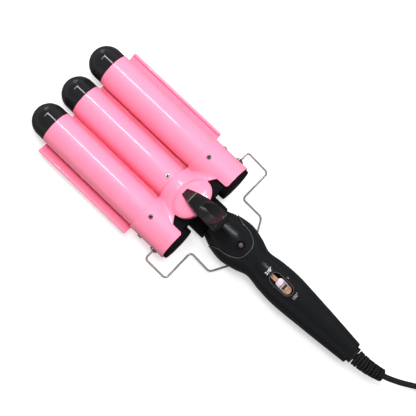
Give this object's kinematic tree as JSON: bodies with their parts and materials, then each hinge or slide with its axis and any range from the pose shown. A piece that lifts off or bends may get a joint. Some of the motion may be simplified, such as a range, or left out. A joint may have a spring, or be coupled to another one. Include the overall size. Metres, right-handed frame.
{
  "type": "hair waver",
  "caption": "Handheld hair waver with pink heated barrels on a sprung jaw, a thumb lever, a slide temperature switch, a folding wire stand and a mains cord.",
  "frame": {"origin": "bottom centre of the tool without its cord, lying on its back on z = 0", "axes": "+Y along the tool from the cord end to the barrel tips, +Z towards the thumb lever and switch side, +X to the right when seen from the lever side with the tips up"},
  "size_m": [0.1905, 0.4515, 0.0724],
  "materials": {
    "pink_enamel": "glossy pink ceramic enamel",
    "cap_black": "glossy heat-resistant plastic",
    "handle_black": "satin soft-touch plastic",
    "lever_black": "satin moulded plastic",
    "steel": "plain steel wire and screws",
    "alu": "extruded aluminium",
    "ceramic": "white ceramic strip",
    "spring_steel": "spring wire",
    "bronze": "sintered bronze",
    "lens": "translucent indicator lens",
    "bulb": "neon lamp body",
    "slide_chrome": "rose-tinted plated plastic",
    "slide_tan": "tan ribbed plastic",
    "switch_black": "moulded switch body",
    "board_green": "circuit board",
    "clamp_nylon": "nylon",
    "cord_pvc": "smooth cord jacket",
    "core_wire": "insulated cores",
    "tie_black": "plastic strap",
    "plug_black": "moulded plug",
    "pin_nickel": "nickel-plated pins"
  },
  "bodies": {
    "handle": {"trough_plate": "pink_enamel", "cap_middle": "cap_black", "heater_middle": "ceramic", "spreader_middle": "alu", "neck_carrier": "lever_black", "hinge_pin": "steel", "hinge_spring": "spring_steel", "neck_housing": "handle_black", "handle_front": "handle_black", "handle_rear": "handle_black", "lamp_lens": "lens", "lamp": "bulb", "switch_bezel": "handle_black", "slide_switch": "switch_black", "circuit_board": "board_green", "board_screws": "steel", "handle_screws": "steel", "cord_clamp": "clamp_nylon", "clamp_screws": "steel", "cord_inner": "cord_pvc", "lead_wires": "core_wire", "plate_screw": "steel", "strain_relief": "cord_pvc", "cord": "cord_pvc", "cord_tail": "cord_pvc", "cord_coil": "cord_pvc", "cord_tie": "tie_black", "plug": "plug_black", "plug_pins": "pin_nickel"},
    "jaw": {"barrel_left": "pink_enamel", "barrel_right": "pink_enamel", "cap_left": "cap_black", "cap_right": "cap_black", "heater_left": "ceramic", "heater_right": "ceramic", "spreader_left": "alu", "spreader_right": "alu", "cover": "pink_enamel", "yoke": "lever_black", "hinge_bushes": "bronze", "thumb_lever": "lever_black", "cover_screws": "steel", "stand_bushes": "steel"},
    "stand": {"wire_stand": "steel"},
    "slider": {"switch_slide": "slide_tan", "switch_knob": "slide_chrome"}
  },
  "joints": [
    {"name": "jaw_hinge", "type": "hinge", "parent": "handle", "child": "jaw", "pos_m": [0, 0.0279, 0.0194], "axis": [1, 0, 0], "range_deg": [0, 26], "stiffness_Nm_per_rad": 0.35, "springref_deg": -34.38},
    {"name": "temperature_slide", "type": "slide", "parent": "handle", "child": "slider", "axis": [0, 1, 0], "range_m": [-0.005, 0.005]},
    {"name": "stand_hinge", "type": "hinge", "parent": "jaw", "child": "stand", "pos_m": [0, 0.0279, 0.0224], "axis": [1, 0, 0], "range_deg": [0, 85]}
  ]
}
